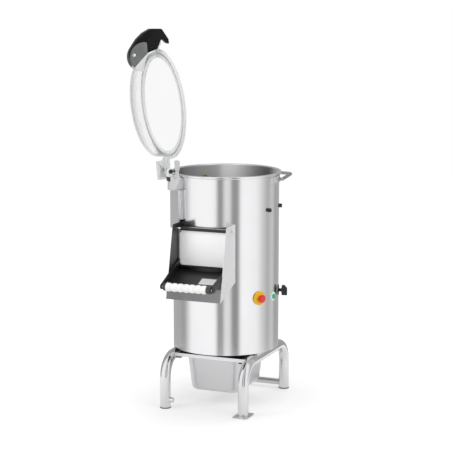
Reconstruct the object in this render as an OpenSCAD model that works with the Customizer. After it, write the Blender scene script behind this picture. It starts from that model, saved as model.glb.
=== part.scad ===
// Floor-standing electric potato peeler: a steel barrel with an abrasive disc on a
// tube stand, a clear hinged lid, a lifting discharge door and a peel tray below.
// Millimetres. The barrel's axis is the Z axis, the floor is z = 0, the chute faces -Y.

/* [Barrel] */
// Outer radius of the barrel
barrel_r = 210; // [204:1:222]
// Height of the barrel from its lower edge to the centre of the rim bead
barrel_h = 695.1; // [660:1:760]
// Thickness of the barrel sheet
sheet = 1.5; // [1:0.1:2]
// Radius of the rolled rim bead
bead_r = 5.2; // [4:0.1:6]
// Height of the machine room below the peeling chamber
room_h = 320; // [310:1:340]
// Thickness of the drum floor and of the base plate
floor_t = 3; // [2:0.5:4]

/* [Stand] */
// Radius of the stand's tube
tube_r = 21; // [17:0.5:22]
// Height of the stand's horizontal tube axis
stand_axis_z = 200; // [190:1:230]
// Distance of each loop's axis inside the barrel's side
loop_in = 45; // [43:1:48]
// Half of the distance between the front and the rear legs
leg_y = 226; // [215:1:250]
// Centreline radius of the tube bends
bend_r = 80; // [50:1:90]
// Thickness of the pads between the loops and the barrel
pad_t = 3.7; // [3:0.1:8]
// Distance of the cross rails from the middle of the stand
rail_y = 180; // [168:1:190]
// Height of the cross rails
rail_h = 13; // [11:1:16]
// Radius of the rear brace
brace_r = 12.25; // [10:0.25:14]
// Thickness of the floor fixing plates
foot_plate_t = 4; // [3:0.5:6]
// Width of the floor fixing plates
foot_plate_w = 64; // [60:1:72]
// Length of the floor fixing plates
foot_plate_l = 90; // [86:1:110]
// Distance between the two bolt holes of a fixing plate
foot_bolt_span = 66; // [62:1:70]
// Radius of the floor bolt holes
foot_bolt_r = 4.5; // [3:0.5:5]

/* [Tray] */
// Gap between the tray's flange and each loop's tube
tray_gap = 12; // [8:1:24]
// Half length of the tray body at its top
tray_half_y = 146; // [120:1:152]
// Depth of the tray
tray_depth = 141; // [90:1:150]
// Inward lean of each tray wall from top to bottom
tray_lean = 14; // [4:1:18]
// Width of the tray's rim flange
tray_flange = 14; // [10:1:15]
// Thickness of the tray sheet
tray_t = 1.2; // [0.8:0.1:2]
// Travel of the tray out of the stand
tray_travel = 240; // [100:5:260]

/* [Chute] */
// Outer width of the discharge chute
chute_w = 224; // [216:1:232]
// Reach of the side plates at their top, in front of the barrel
chute_top_reach = 55; // [45:1:75]
// Reach of the chute lip in front of the barrel
chute_reach = 119; // [100:1:140]
// Height of the side plates above the door sill
chute_rise = 160; // [153:1:180]
// Drop of the chute lip below the door sill
chute_drop = 119; // [107:1:135]
// Height of the folded front lip
lip_h = 52; // [40:1:56]
// Distance from the chute's side to the opening in the barrel
mouth_side = 16; // [14:1:36]
// Height of the opening in the barrel
mouth_h = 125; // [105:1:128]

/* [Door] */
// Radius of the door's hinge rod
rod_r = 4; // [3:0.25:5]
// Gap between the door panel and each chute side
door_gap = 5.5; // [4:0.5:9]
// Distance of the handle's grip in front of the barrel
grip_reach = 170; // [150:1:190]
// Drop of the grip below the door's hinge rod
grip_drop = 199; // [189:1:209]
// Radius of the rod inside the grip
bar_r = 6; // [5:0.25:7]
// Depth of the handle's flat arms
arm_h = 21; // [16:1:24]
// Thickness of the handle's flat arms
arm_t = 6; // [4:0.5:7]
// Largest radius of the grip
grip_r = 16.5; // [13:0.5:18]
// Length of the grip
grip_l = 168; // [140:1:170]
// Number of bulges along the grip
grip_bulges = 7; // [5:1:9]

/* [Lid] */
// Bearing of the lid's hinge around the barrel, from the front towards the right
hinge_bearing = -42; // [-48:1:-40]
// Distance of the hinge pin in front of the barrel's side
hinge_reach = 46; // [44:1:52]
// Height of the hinge pin above the underside of the lid ring
hinge_up = 10.6; // [10:0.1:12]
// Opening angle of the lid as it stands
lid_open = 94.8; // [80:0.1:100]
// Distance of the clear lid ring's edge inside the barrel's side
ring_in = 4; // [3:0.5:9]
// Thickness of the clear lid ring
ring_t = 7; // [5:0.5:8]
// Height of the dome above the ring's underside
dome_h = 88; // [80:1:92]
// Wall of the dome
dome_t = 4; // [3:0.5:5]
// Radius of the lid's hinge pin
pin_r = 5; // [4:0.25:6]

/* [Latch] */
// Thickness of the latch lever
lever_t = 30; // [24:1:34]
// Radius of the latch pin
latch_pin_r = 4; // [3:0.25:5]
// Radius of the catch bow's tube
bow_r = 6.5; // [4.5:0.25:6.5]
// Distance outside the barrel at which the catch bow passes under the lever
bow_keep = 11; // [10.5:0.25:11.5]

/* [Controls] */
// Height of the controls above the barrel's lower edge
control_up = 220.3; // [180:1:250]
// Bearing of the stop button
stop_bearing = 60; // [54:1:63]
// Bearing of the start button
start_bearing = 82; // [78:1:84]
// Bearing of the timer knob
timer_bearing = 102; // [99:1:112]
// Travel of the stop button
stop_travel = 4; // [2:0.5:4]
// Travel of the start button
start_travel = 2.5; // [1.5:0.25:3]
// Diameter of the yellow plate behind the stop button
stop_plate_d = 55; // [45:1:60]
// Diameter of the red mushroom head
mushroom_d = 31; // [26:1:40]
// Diameter of the timer's base
timer_base_d = 43; // [38:1:54]

/* [Drive] */
// Radius of the main shaft
shaft_r = 15; // [12:0.5:17]
// Pitch radius of the driven pulley
driven_r = 75; // [60:1:78]
// Ratio between the two pulleys
belt_ratio = 3; // [2.5:0.1:4]
// Distance between the main shaft and the motor shaft
motor_y = 112; // [110:1:120]
// Radius of the motor's body
motor_r = 62; // [50:1:64]
// Height of the motor's body
motor_h = 170; // [120:5:190]
// Gap between the abrasive disc and the barrel
disc_gap = 12.5; // [10:0.5:25]
// Thickness of the abrasive disc
disc_t = 8; // [6:0.5:12]
// Number of waves on the abrasive disc
disc_waves = 3; // [2:1:4]
// Outer radius of the drain pipe
drain_r = 25; // [18:1:26]

/* [Hidden] */
$fn = 96;

// shared clearances
eps = 0.05;            // pieces welded or seated face to face
run = 0.06;            // running fit of a pin or shaft in its bore
air = 0.3;             // between parts that move past each other
knee = 0.4;            // extra radius of the ball at a bar's bend

// heights that follow from the stand upwards
barrel_bottom = stand_axis_z + tube_r + pad_t;
rim_z = barrel_bottom + barrel_h;
bead_top = rim_z + bead_r;
bead_mid = barrel_r - sheet / 2 + bead_r - 0.1;
bead_out = bead_mid + bead_r;
inner_r = barrel_r - sheet;
chamber_z = barrel_bottom + room_h + floor_t;
disc_z = chamber_z + 8.3;
disc_top = disc_z + disc_t;
sill_z = disc_top + 17;
control_z = barrel_bottom + control_up;
start_z = control_z - 5;
timer_z = control_z + 6;

// stand
loop_x = barrel_r - loop_in;
pad_y = 90;
pad_bolt_r = 4;
brace_z = 22.8;
socket_r = 10;
socket_z = 33;
foot_corner = 14;

// chute and door
plate_t = 1.5;
side_x = chute_w / 2;
side_in = side_x - plate_t;
mouth_w = chute_w - 2 * mouth_side;
door_w = 2 * (side_in - door_gap);
front_y = -barrel_r;
chute_top_z = sill_z + chute_rise;
lip_z = sill_z - chute_drop;
lip_y = front_y - chute_reach;
floor_slope = 0.35;
rod_y = front_y - 11;
rod_z = chute_top_z - 21;
frame_y = front_y - 2.4;
gasket_t = 2.2;
door_back_y = frame_y - air - gasket_t;
door_t = 1.5;
door_front_y = door_back_y - door_t;
door_low_z = sill_z - 4;
knuckle_r = rod_r + 3.5;
door_clip = 9;
rod_over = 6;
grip_y = front_y - grip_reach;
grip_z = rod_z - grip_drop;
arm_in = side_in - 1.5 - arm_t;
arm_root_z = door_low_z + 9;
grip_shift = -4;
clamp_end = arm_in - 6;

// lid in its closed place, before it is turned open about the hinge pin
seal_t = 2;
hinge_out = barrel_r + hinge_reach;
ring_r = barrel_r - ring_in;
ring_w = 26;
lid_z = bead_top + 0.4 + seal_t;
hinge_z = lid_z + hinge_up;
arm_near_x = 8;
arm_far_x = -26;
lid_arm_t = 12;
knuckle_x = [26, -42];
knuckle_t = 16;
block_low_z = rim_z - 56;
block_top_z = rim_z - 2;
dome_wall = ring_r - 5;
dome_outer = [[dome_wall, ring_t], [dome_wall, 20], [dome_wall - 3, 20], [dome_wall - 3, 34],
              [dome_wall - 5.5, 34], [dome_wall - 5.5, 50], [dome_wall - 8, 56],
              [dome_wall - 16, 62], [dome_wall - 36, dome_h - 19], [dome_wall - 71, dome_h - 11],
              [dome_wall - 121, dome_h - 4], [0, dome_h]];
dome_inner = [for (p = dome_outer) [max(0, p[0] < dome_wall - 6 ? p[0] - dome_t * 0.6 : dome_wall - 9.5),
                                    p[1] > 51 ? p[1] - dome_t : p[1]]];

// latch, as (distance from the barrel's side, height above the ring) in the lid's own plane
latch_pivot = [-9, 111];
lever_half = lever_t / 2;
lever_side = [[82, 30], [78, -14], [36, -39], [20, -39.5], [19.3, -35.2], [33.2, -21], [40, -9.5],
              [15, 4.2], [4, 11.5], [-4.8, 44], [-20, 84], [-26, 98], [-26, 110], [-18, 117],
              [-4, 118], [14, 113], [23, 109], [49, 87], [69, 61]];
slot_half = 9;
slot_side = [[35, -17], [52, -14], [52, 0], [40, 12], [6, 24], [-2, 32], [-10, 32], [-10, -17]];
tongue_half = 8;
tongue_foot = dome_wall - barrel_r + 0.4;
tongue_side = [[tongue_foot, ring_t - 0.5], [-4.5, ring_t - 0.5], [2.5, 0.5], [14, -1.2], [19, -8],
               [31, -8], [31, -1], [-6, 11], [tongue_foot, 11]];
cheek_t = 3;
cheek_r = 55.5;
cheek_at = [-20, 70];
cheek_low = 54;

// catch opposite the hinge
catch_bearing = hinge_bearing + 180;
keep_z = lid_z - 22;
bow_keep_r = barrel_r + bow_keep;
bow_root_z = rim_z - 25;
bow_foot = 37.5;
bow_corner = [46, barrel_r + 57];
bow_mid_x = 20;
catch_t = 3;

// controls
neck_r = 10.8;
block_r = barrel_r - 25;
block_h = 30;
bezel_r = 17;
bumper_bearings = [74, 110];
bumper_z = barrel_bottom + 560.5;
bumper_r = 8;
CONTROLS = [[stop_bearing, control_z], [start_bearing, start_z], [timer_bearing, timer_z]];

// water inlet
inlet_bearing = -133;
inlet_z = rim_z - 44;
inlet_r = 10.5;
nozzle_r = 8;
stem_r = 5;
timer_stem_r = 4;

// drive
pulley_z = barrel_bottom + 37;
pulley_h = 20;
belt_t = 8;
belt_w = 12;
motor_pulley_r = driven_r / belt_ratio;
disc_r = inner_r - disc_gap;
disc_stud_r = shaft_r - 4;
wave_r = 32;
wave_h = 10;
plate_z = barrel_bottom + 71;
motor_shaft_r = 9;
housing_r = 38;
housing_low = plate_z + 14;
housing_top = chamber_z - floor_t;
bearing_r = 31;
bearing_h = 16;
drain_at = [-95, -60];

// tray and runners
tray_rim_z = stand_axis_z - 3;
tray_half_x = loop_x - tube_r - tray_gap - tray_flange;
runner_x = loop_x - tube_r;

// turns its children around the barrel by a bearing from the front
module around(bearing) {
    rotate([0, 0, bearing]) children();
}

// stands its children on a radius of the barrel: their +Z points outwards
module outward(bearing, z) {
    around(bearing) translate([0, 0, z]) rotate([90, 0, 0]) children();
}

// extrudes a (y, z) outline along X from x to x + t
module slab_x(x, t) {
    translate([x, 0, 0]) rotate([90, 0, 90]) linear_extrude(t) children();
}

// a round bar between two points
module bar(a, b, r) {
    d = b - a;
    l = norm(d);
    translate(a) rotate([0, acos(d[2] / l), atan2(d[1], d[0])]) cylinder(r = r, h = l);
}

// the barrel's outer surface, grown by g, to fit pieces against it
module barrel_core(g = eps) {
    translate([0, 0, barrel_bottom - 60]) cylinder(r = barrel_r + g, h = barrel_h + 160);
}

// places the lid's pieces: they are written closed and stand open
module lid_place() {
    around(hinge_bearing)
        translate([0, -hinge_out, hinge_z]) rotate([lid_open, 0, 0])
            translate([0, hinge_out, lid_z - hinge_z]) children();
}

// ------------------------------------------------------------------ barrel
module barrel_shell() {
    color("silver") difference() {
        rotate_extrude($fn = 180) {
            translate([inner_r, barrel_bottom]) square([sheet, barrel_h]);
            translate([bead_mid, rim_z]) circle(bead_r, $fn = 32);
        }
        translate([-mouth_w / 2, -barrel_r - 20, sill_z]) cube([mouth_w, barrel_r, mouth_h]);
        for (c = CONTROLS)
            outward(c[0], c[1]) translate([0, 0, inner_r - 20]) cylinder(r = neck_r + 0.2, h = 40);
        outward(inlet_bearing, inlet_z) translate([0, 0, inner_r - 20]) cylinder(r = nozzle_r + eps, h = 40);
    }
}

module base_plate() {
    color("lightgray") difference() {
        translate([0, 0, barrel_bottom]) cylinder(r = inner_r - eps, h = floor_t, $fn = 180);
        translate([drain_at[0], drain_at[1], barrel_bottom - 1]) cylinder(r = drain_r + eps, h = floor_t + 2);
        for (x = [-1, 1], y = [-1, 1])
            translate([x * loop_x, y * pad_y, barrel_bottom - 1])
                cylinder(r = pad_bolt_r + 0.3, h = floor_t + 2);
    }
}

module drum_floor() {
    color("lightgray") difference() {
        translate([0, 0, chamber_z - floor_t]) cylinder(r = inner_r - eps, h = floor_t, $fn = 180);
        translate([0, 0, chamber_z - floor_t - 1]) cylinder(r = bearing_r - 6, h = floor_t + 2);
        translate([drain_at[0], drain_at[1], chamber_z - floor_t - 1])
            cylinder(r = drain_r - 2, h = floor_t + 2);
    }
}

module abrasive_liner() {
    color("dimgray") difference() {
        translate([0, 0, chamber_z + 0.3]) cylinder(r = inner_r - eps, h = chute_rise + 30, $fn = 180);
        translate([0, 0, chamber_z]) cylinder(r = inner_r - 5, h = chute_rise + 40, $fn = 180);
        translate([-mouth_w / 2 - 4, -barrel_r - 20, sill_z - 4]) cube([mouth_w + 8, barrel_r, mouth_h + 8]);
    }
}

module drain_pipe() {
    low = tray_rim_z + 6;
    color("lightgray") difference() {
        translate([drain_at[0], drain_at[1], low]) cylinder(r = drain_r, h = housing_top - low);
        translate([drain_at[0], drain_at[1], low - 1]) cylinder(r = drain_r - 2, h = housing_top - low + 2);
    }
}

// ------------------------------------------------------------------ stand
// one leg's quarter bend and its straight tube, for the leg on the +Y side, of tube radius r
module leg(r) {
    translate([0, leg_y, foot_plate_t]) cylinder(r = r, h = stand_axis_z - bend_r - foot_plate_t);
    translate([0, leg_y - bend_r, stand_axis_z - bend_r]) rotate([90, 0, 90])
        rotate_extrude(angle = 90) translate([bend_r, 0]) circle(r, $fn = 48);
}

module loop(r = tube_r) {
    leg(r);
    mirror([0, 1, 0]) leg(r);
    translate([0, -(leg_y - bend_r), stand_axis_z]) rotate([-90, 0, 0])
        cylinder(r = r, h = 2 * (leg_y - bend_r));
}

module stand_loop_left() {
    color("gainsboro") {
        translate([-loop_x, 0, 0]) loop();
        // short socket on the inner side of the front leg
        translate([-loop_x + tube_r - 4, -leg_y, socket_z]) rotate([0, 90, 0]) cylinder(r = socket_r, h = 17);
    }
}

module stand_loop_right() {
    color("gainsboro") translate([loop_x, 0, 0]) loop();
}

// the two loops, grown by eps, to cope pieces that butt against them
module loop_tubes() {
    for (x = [-loop_x, loop_x])
        translate([x, 0, 0]) loop(tube_r + eps);
}

module cross_rails() {
    color("whitesmoke") difference() {
        for (y = [-rail_y, rail_y])
            translate([-loop_x + 6, y - 1.5, stand_axis_z + 0.5]) cube([2 * (loop_x - 6), 3, rail_h]);
        loop_tubes();
    }
}

module rear_brace() {
    color("lightgray") difference() {
        translate([-loop_x, leg_y, brace_z]) rotate([0, 90, 0]) cylinder(r = brace_r, h = 2 * loop_x);
        for (x = [-loop_x, loop_x])
            translate([x, leg_y, 0]) cylinder(r = tube_r + eps, h = 60);
    }
}

module foot_caps() {
    color("black")
        for (p = [[-loop_x, -leg_y], [loop_x, leg_y]])
            translate([p[0], p[1], 0]) cylinder(r = tube_r + 0.5, h = foot_plate_t - eps);
}

module foot_plates() {
    color("silver")
        for (p = [[loop_x, -leg_y], [-loop_x, leg_y]])
            translate([p[0], p[1], 0]) difference() {
                linear_extrude(foot_plate_t - eps) {
                    square([foot_plate_w - 2 * foot_corner, foot_plate_l], center = true);
                    square([foot_plate_w, foot_plate_l - 2 * foot_corner], center = true);
                    for (x = [-1, 1], y = [-1, 1])
                        translate([x * (foot_plate_w / 2 - foot_corner), y * (foot_plate_l / 2 - foot_corner)])
                            circle(foot_corner);
                }
                for (s = [-1, 1])
                    translate([0, s * foot_bolt_span / 2, -1]) cylinder(r = foot_bolt_r, h = foot_plate_t + 2);
            }
}

module mounting_pads() {
    color("gray") difference() {
        for (x = [-loop_x, loop_x], y = [-pad_y, pad_y])
            translate([x - 16, y - 22, barrel_bottom - pad_t - 6]) cube([32, 44, pad_t + 6 - eps]);
        loop_tubes();
    }
}

module tray_runners() {
    color("silver")
        for (s = [-1, 1])
            translate([s * runner_x, 0, 0]) {
                translate([s > 0 ? -3 - eps : eps, -rail_y + 2, tray_rim_z - 6]) cube([3, 2 * rail_y - 4, 9]);
                translate([s > 0 ? -22 : 0.1, -rail_y + 2, tray_rim_z - 6]) cube([21.9, 2 * rail_y - 4, 3]);
            }
}

// ------------------------------------------------------------------ tray
// outline of the tray at one height, with round corners
module tray_outline(hx, hy, r) {
    square([2 * hx, 2 * (hy - r)], center = true);
    square([2 * (hx - r), 2 * hy], center = true);
    for (x = [-1, 1], y = [-1, 1])
        translate([x * (hx - r), y * (hy - r)]) circle(r);
}

module tray() {
    lip_low = tray_rim_z - 3 + air;
    color("gainsboro") {
        difference() {
            tray_body(0);
            tray_body(tray_t);
        }
        difference() {
            translate([0, 0, lip_low]) linear_extrude(1.6)
                tray_outline(tray_half_x + tray_flange, tray_half_y + tray_flange, 30);
            translate([0, 0, lip_low - 1]) linear_extrude(4)
                tray_outline(tray_half_x - 1.4, tray_half_y - 1.4, 44);
        }
    }
}

// the tapered pan, shrunk by g on every wall and raised by g at the bottom
module tray_body(g) {
    top = tray_rim_z - 3 + air + (g > 0 ? 5 : 0);
    low = tray_rim_z - tray_depth;
    hull() {
        translate([0, 0, top]) linear_extrude(0.01)
            tray_outline(tray_half_x - g, tray_half_y - g, 45 - g, $fn = 32);
        translate([0, 0, low + 12 + g]) linear_extrude(0.01)
            tray_outline(tray_half_x - tray_lean - g, tray_half_y - tray_lean - g, 38 - g, $fn = 32);
        translate([0, 0, low + g]) linear_extrude(0.01)
            tray_outline(tray_half_x - tray_lean - 10 - g, tray_half_y - tray_lean - 10 - g, 30 - g, $fn = 32);
    }
}

// ------------------------------------------------------------------ drive
module motor() {
    color("slategray") difference() {
        union() {
            translate([0, motor_y, plate_z + 4]) cylinder(r = motor_r, h = motor_h);
            translate([0, motor_y, plate_z + 4]) cylinder(r = motor_r + 3, h = 10);
            translate([0, motor_y, plate_z + 4 + motor_h]) cylinder(r = motor_r - 8, h = 14);
            translate([-28, motor_y + motor_r - 12, plate_z + 60]) cube([56, 20, 70]);
        }
        translate([0, motor_y, plate_z]) cylinder(r = motor_shaft_r + run, h = 34);
        for (k = [0:11])
            translate([0, motor_y, plate_z + 26 + k * 11]) difference() {
                cylinder(r = motor_r + 1, h = 4);
                translate([0, 0, -1]) cylinder(r = motor_r - 4, h = 6);
            }
    }
}

module motor_plate() {
    color("lightgray") difference() {
        translate([0, 0, plate_z]) cylinder(r = inner_r - eps, h = 4, $fn = 180);
        translate([0, 0, plate_z - 1]) cylinder(r = housing_r + 6, h = 6);
        translate([0, motor_y, plate_z - 1]) cylinder(r = motor_shaft_r + 8, h = 6);
        translate([drain_at[0], drain_at[1], plate_z - 1]) cylinder(r = drain_r + eps, h = 6);
        translate([120, -70, plate_z - 1]) cylinder(r = 36, h = 6);
    }
}

// V-grooved pulley body of pitch radius r
module sheave(r) {
    rotate_extrude()
        polygon([[0, 0], [r + 1, 0], [r + 1, 2], [r - belt_t, 6], [r - belt_t, pulley_h - 6],
                 [r + 1, pulley_h - 2], [r + 1, pulley_h], [0, pulley_h]]);
}

module motor_pulley() {
    color("dimgray") translate([0, motor_y, 0]) {
        translate([0, 0, pulley_z]) sheave(motor_pulley_r);
        translate([0, 0, pulley_z - 4]) cylinder(r = motor_shaft_r, h = plate_z - pulley_z + 36);
    }
}

module driven_pulley() {
    color("dimgray") difference() {
        translate([0, 0, pulley_z]) sheave(driven_r);
        translate([0, 0, pulley_z - 1]) cylinder(r = shaft_r, h = pulley_h + 2);
        for (k = [0:4])
            rotate([0, 0, 72 * k]) translate([driven_r * 0.62, 0, pulley_z - 1])
                cylinder(r = driven_r * 0.16, h = pulley_h + 2);
    }
}

// the area inside an open belt round two circles of radii a and b, centres c apart
module belt_area(a, b, c) {
    t = acos((a - b) / c);
    circle(a);
    translate([0, c]) circle(b);
    polygon([[a * sin(t), a * cos(t)], [b * sin(t), c + b * cos(t)],
             [-b * sin(t), c + b * cos(t)], [-a * sin(t), a * cos(t)]]);
}

module drive_belt() {
    low = pulley_z + (pulley_h - 7) / 2;
    gap = air + 0.1;
    color("black") difference() {
        translate([0, 0, low]) linear_extrude(7)
            belt_area(driven_r - belt_t + gap + 6, motor_pulley_r - belt_t + gap + 6, motor_y);
        translate([0, 0, low - 1]) linear_extrude(9)
            belt_area(driven_r - belt_t + gap, motor_pulley_r - belt_t + gap, motor_y);
    }
}

module drive_shaft() {
    color("gray") {
        translate([0, 0, pulley_z - 6]) cylinder(r = shaft_r, h = disc_z - pulley_z + 6);
        translate([0, 0, disc_z - 1]) cylinder(r = disc_stud_r, h = disc_t + 10.5);
    }
}

module bearing_housing() {
    color("gray") difference() {
        union() {
            translate([0, 0, housing_low]) cylinder(r = housing_r, h = housing_top - housing_low);
            translate([0, 0, housing_top - 8]) cylinder(r = housing_r + 22, h = 8);
            for (k = [0:3])
                rotate([0, 0, 90 * k + 45]) translate([housing_r - 4, -3, housing_top - 50]) cube([18, 6, 46]);
        }
        translate([0, 0, housing_low - 1]) cylinder(r = bearing_r, h = housing_top - housing_low + 2);
    }
}

module shaft_bearings() {
    color("silver")
        for (z = [housing_low + 4, housing_top - 30])
            translate([0, 0, z]) difference() {
                cylinder(r = bearing_r - eps, h = bearing_h);
                translate([0, 0, -1]) cylinder(r = shaft_r + run, h = bearing_h + 2);
            }
}

module shaft_seal() {
    color("black") difference() {
        translate([0, 0, housing_top - 12]) cylinder(r = bearing_r - eps, h = 11.5);
        translate([0, 0, housing_top - 13]) cylinder(r = shaft_r + run, h = 14);
    }
}

module abrasive_disc() {
    color("dimgray") difference() {
        union() {
            translate([0, 0, disc_z]) cylinder(r = disc_r, h = disc_t, $fn = 180);
            // low round-backed waves that throw the potatoes
            for (k = [0:disc_waves - 1])
                rotate([0, 0, 360 / disc_waves * k]) intersection() {
                    translate([60, 0, disc_top + wave_h - wave_r]) rotate([0, 90, 0])
                        cylinder(r = wave_r, h = disc_r - 66);
                    translate([50, -40, disc_top - 1]) cube([disc_r, 80, 40]);
                }
        }
        translate([0, 0, disc_z - 1]) cylinder(r = disc_stud_r + eps, h = disc_t + 20);
    }
}

module disc_cap() {
    color("silver") difference() {
        translate([0, 0, disc_top]) {
            cylinder(r = 34, h = 6);
            translate([0, 0, 5]) cylinder(r1 = 34, r2 = 16, h = 12);
        }
        translate([0, 0, disc_top - 1]) cylinder(r = disc_stud_r + eps, h = 11);
    }
}

// ------------------------------------------------------------------ chute
module chute_side() {
    difference() {
        slab_x(side_in, plate_t)
            polygon([[-side_in, chute_top_z], [front_y - chute_top_reach, chute_top_z],
                     [lip_y, lip_z], [front_y + 40, sill_z - chute_drop + floor_slope * (chute_reach + 40)]]);
        barrel_core();
        translate([side_in - 5, rod_y, rod_z]) rotate([0, 90, 0]) cylinder(r = rod_r + eps, h = 15);
    }
}

module chute_side_left() {
    color("gray") mirror([1, 0, 0]) chute_side();
}

module chute_side_right() {
    color("lightgray") chute_side();
}

module chute_floor() {
    z0 = lip_z + lip_h;
    back = front_y + 45;
    zb = z0 + floor_slope * (back - lip_y);
    color("dimgray") difference() {
        slab_x(-side_in + eps, 2 * (side_in - eps))
            polygon([[lip_y, z0], [back, zb], [back, zb - 2], [lip_y + 2, z0 - 2.6],
                     [lip_y + 2, lip_z + 0.6], [lip_y, lip_z]]);
        barrel_core();
    }
}

module door_frame() {
    low = sill_z - 11.5;
    color("silver") difference() {
        union() {
            difference() {
                translate([-side_in + eps, frame_y, low]) cube([2 * (side_in - eps), 2, mouth_h + 24]);
                translate([-mouth_w / 2, frame_y - 1, sill_z]) cube([mouth_w, 4, mouth_h]);
            }
            difference() {
                translate([-mouth_w / 2 - 2, frame_y + 1, sill_z - 2]) cube([mouth_w + 4, 50, mouth_h + 4]);
                translate([-mouth_w / 2, frame_y - 1, sill_z]) cube([mouth_w, 60, mouth_h]);
            }
        }
        barrel_core();
    }
}

// ------------------------------------------------------------------ door
module door_panel() {
    w = door_w / 2;
    clip = door_clip;
    h = rod_z - 4 - door_low_z;
    color("whitesmoke") difference() {
        union() {
            translate([0, door_back_y, door_low_z]) rotate([90, 0, 0]) linear_extrude(door_t)
                polygon([[-w + clip, 0], [w - clip, 0], [w, clip], [w, h - clip - 8], [w - clip, h - 8],
                         [w - clip, h], [-w + clip, h], [-w + clip, h - 8], [-w, h - clip - 8], [-w, clip]]);
            translate([-w + clip, rod_y, rod_z])
                rotate([0, 90, 0]) cylinder(r = knuckle_r, h = 2 * (w - clip));
        }
        translate([-w, rod_y, rod_z]) rotate([0, 90, 0]) cylinder(r = rod_r + run, h = 2 * w);
    }
}

module door_gasket() {
    color("black") difference() {
        translate([-mouth_w / 2 - 5, door_back_y + eps, door_low_z + 0.2])
            cube([mouth_w + 10, gasket_t - eps, mouth_h + 6]);
        translate([-mouth_w / 2 + 4, door_back_y - 1, sill_z + 5])
            cube([mouth_w - 8, gasket_t + 2, mouth_h - 10]);
    }
}

module door_hinge_rod() {
    color("silver") {
        translate([-side_x - rod_over, rod_y, rod_z]) rotate([0, 90, 0])
            cylinder(r = rod_r, h = 2 * (side_x + rod_over));
        for (x = [-side_x - rod_over, side_x + eps])
            translate([x, rod_y, rod_z]) rotate([0, 90, 0]) cylinder(r = rod_r + 3, h = rod_over - eps);
    }
}

module handle_bar() {
    h = arm_h / 2;
    color("black")
        for (x = [arm_in, -arm_in - arm_t]) {
            slab_x(x, arm_t)
                polygon([[grip_y, grip_z - h], [door_front_y - 12, arm_root_z - h],
                         [door_front_y - eps, arm_root_z - h],
                         [door_front_y - eps, arm_root_z + h + 4], [door_front_y - 12, arm_root_z + h],
                         [grip_y, grip_z + h]]);
            translate([x, grip_y, grip_z]) rotate([0, 90, 0]) cylinder(r = h, h = arm_t);
        }
}

module grip_rod() {
    color("silver") translate([-arm_in + eps, grip_y, grip_z]) rotate([0, 90, 0])
        cylinder(r = bar_r, h = 2 * (arm_in - eps));
}

// the grip's radius along its length, u from 0 to 1
function grip_wave(u) = grip_r - 3 + 3 * abs(sin(180 * grip_bulges * u));

module handle_grip() {
    n = 8 * grip_bulges;
    color("white") translate([grip_shift - grip_l / 2, grip_y, grip_z]) rotate([0, 90, 0])
        rotate_extrude($fn = 48)
            polygon(concat([[bar_r + eps, 0]], [for (i = [0:n]) [grip_wave(i / n), grip_l * i / n]],
                           [[bar_r + eps, grip_l]]));
}

module handle_clamps() {
    low = grip_shift - grip_l / 2 - eps;
    high = grip_shift + grip_l / 2 + eps;
    color("dimgray") translate([0, grip_y, grip_z]) rotate([0, 90, 0]) difference() {
        union() {
            translate([0, 0, high]) cylinder(r = grip_r - 1.5, h = clamp_end - high);
            translate([0, 0, -clamp_end]) cylinder(r = grip_r - 1.5, h = clamp_end + low);
        }
        translate([0, 0, -arm_in]) cylinder(r = bar_r + eps, h = 2 * arm_in);
    }
}

// ------------------------------------------------------------------ lid hinge
module hinge_bracket() {
    w = 32;
    color("silver") around(hinge_bearing) difference() {
        union() {
            translate([12, -hinge_out - 1, block_low_z]) cube([w, 60, block_top_z - block_low_z]);
            translate([-44, -barrel_r - 28, block_top_z - 10]) cube([60, 32, 10]);
            translate([-44, -hinge_out - 11, block_top_z - 10]) cube([18, 50, 10]);
        }
        barrel_core();
        translate([0, 0, rim_z - bead_r - 1.5]) cylinder(r = bead_out + 0.4, h = 40);
    }
}

module hinge_knuckles() {
    color("black") around(hinge_bearing)
        for (x = knuckle_x)
            difference() {
                union() {
                    translate([x, -hinge_out, hinge_z]) rotate([0, 90, 0]) cylinder(r = 11, h = knuckle_t);
                    translate([x, -hinge_out - 11, block_top_z + eps])
                        cube([knuckle_t, 22, hinge_z - block_top_z]);
                }
                translate([x - 1, -hinge_out, hinge_z]) rotate([0, 90, 0])
                    cylinder(r = pin_r + eps, h = knuckle_t + 2);
            }
    // stop block on the outer face of the bracket
    color("black") around(hinge_bearing)
        translate([14, -hinge_out - 6, block_top_z - 18]) cube([28, 5 - eps, 15]);
}

module hinge_pin() {
    color("gray") around(hinge_bearing) {
        translate([-46, -hinge_out, hinge_z]) rotate([0, 90, 0]) cylinder(r = pin_r, h = 92);
        translate([42 + eps, -hinge_out, hinge_z]) rotate([0, 90, 0]) cylinder(r = pin_r + 3, h = 4);
        translate([-46, -hinge_out, hinge_z]) rotate([0, 90, 0]) cylinder(r = pin_r + 3, h = 4 - eps);
    }
}

module cable_duct() {
    low = chute_top_z - 34;
    h = block_low_z - low - 0.1;
    color("silver") difference() {
        around(hinge_bearing) difference() {
            translate([-34, -barrel_r - 16, low]) cube([80, 40, h]);
            translate([-32.5, -barrel_r - 14.5, low + 1.5]) cube([77, 40, h]);
            barrel_core();
        }
        // notch beside the chute's side plate
        translate([-side_x - 1.5, -barrel_r - 60, low - 1])
            cube([side_x, 200, chute_top_z + 8 - low + 1]);
    }
}

module lid_sensor() {
    x = 53;
    y = -hinge_out + 11;
    color("gray") around(hinge_bearing) {
        translate([30, y, block_top_z + eps]) cube([45, 13, 3]);
        translate([x + 3, y + 2, block_top_z + 2]) cube([16, 9, 28]);
        translate([x, y, block_top_z + 28]) cube([22, 13, 35]);
        translate([x + 11, y + 6.5, block_top_z + 62]) cylinder(r = 5, h = 3);
    }
}

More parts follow.
